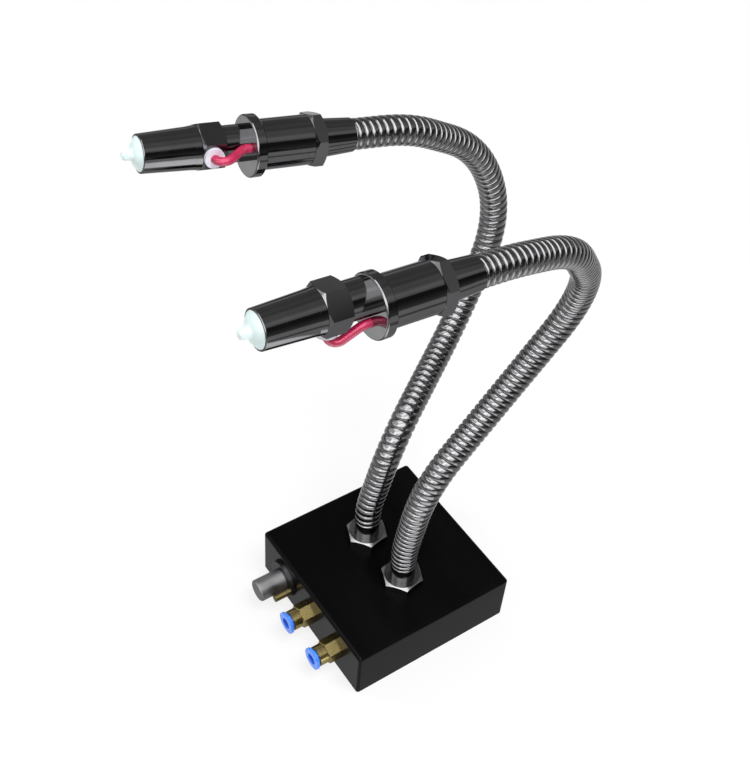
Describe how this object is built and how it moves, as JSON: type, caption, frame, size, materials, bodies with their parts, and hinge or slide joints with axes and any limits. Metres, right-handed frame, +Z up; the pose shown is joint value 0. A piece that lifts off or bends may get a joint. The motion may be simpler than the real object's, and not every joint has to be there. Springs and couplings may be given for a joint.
{
  "type": "twin ionizing air nozzle on goosenecks",
  "caption": "Two ionizing air nozzles with offset tapered shrouds and emitter tips, each on a ringed metal gooseneck from one black block base with a round connector and push-in tube fittings",
  "frame": {"origin": "centre of the base's flat underside", "axes": "+Z up from the bench, -Y the way the connectors face, +X to the right when seen from the connector side"},
  "size_m": [0.1466, 0.2176, 0.2925],
  "materials": {
    "black_housing": "satin black anodised",
    "ballast_steel": "ground steel",
    "screw_steel": "zinc plated",
    "nozzle_chrome": "polished chrome plate",
    "gooseneck_metal": "bright plated ringed hose",
    "connector_metal": "satin nickel plated",
    "fitting_brass": "turned brass",
    "ring_blue": "moulded blue",
    "seal_rubber": "black rubber",
    "hose_plastic": "black tube",
    "insulator_white": "white insulator",
    "bushing_white": "translucent white bushing",
    "lead_red": "crimson lead jacket",
    "emitter_metal": "ground emitter pin"
  },
  "bodies": {
    "stand": {"air_hose_1": "hose_plastic", "air_hose_2": "hose_plastic", "barrel_1": "nozzle_chrome", "barrel_2": "nozzle_chrome", "base_ferrule_1": "nozzle_chrome", "base_ferrule_2": "nozzle_chrome", "base_housing": "black_housing", "base_nut_1": "nozzle_chrome", "base_nut_2": "nozzle_chrome", "base_plate": "ballast_steel", "base_plate_screws": "screw_steel", "earth_stud": "fitting_brass", "emitter_pin_1": "emitter_metal", "emitter_pin_2": "emitter_metal", "end_ferrule_1": "nozzle_chrome", "end_ferrule_2": "nozzle_chrome", "fitting_body_1": "fitting_brass", "fitting_body_2": "fitting_brass", "front_flange_1": "nozzle_chrome", "front_flange_2": "nozzle_chrome", "gooseneck_1": "gooseneck_metal", "gooseneck_2": "gooseneck_metal", "hex_body_1": "nozzle_chrome", "hex_body_2": "nozzle_chrome", "hv_flange": "connector_metal", "hv_shell": "connector_metal", "lead_bushing_1": "bushing_white", "lead_bushing_2": "bushing_white", "red_lead_1": "lead_red", "red_lead_2": "lead_red", "shroud_1": "nozzle_chrome", "shroud_2": "nozzle_chrome", "tip_insulator_1": "insulator_white", "tip_insulator_2": "insulator_white", "tube_seal_1": "seal_rubber", "tube_seal_2": "seal_rubber"},
    "ring_1": {"release_ring_1": "ring_blue"},
    "ring_2": {"release_ring_2": "ring_blue"}
  },
  "joints": [
    {"name": "release_ring_1_press", "type": "slide", "parent": "stand", "child": "ring_1", "axis": [0, 1, 0], "range_m": [0, 0.0012], "stiffness_N_per_m": 300},
    {"name": "release_ring_2_press", "type": "slide", "parent": "stand", "child": "ring_2", "axis": [0, 1, 0], "range_m": [0, 0.0012], "stiffness_N_per_m": 300}
  ]
}
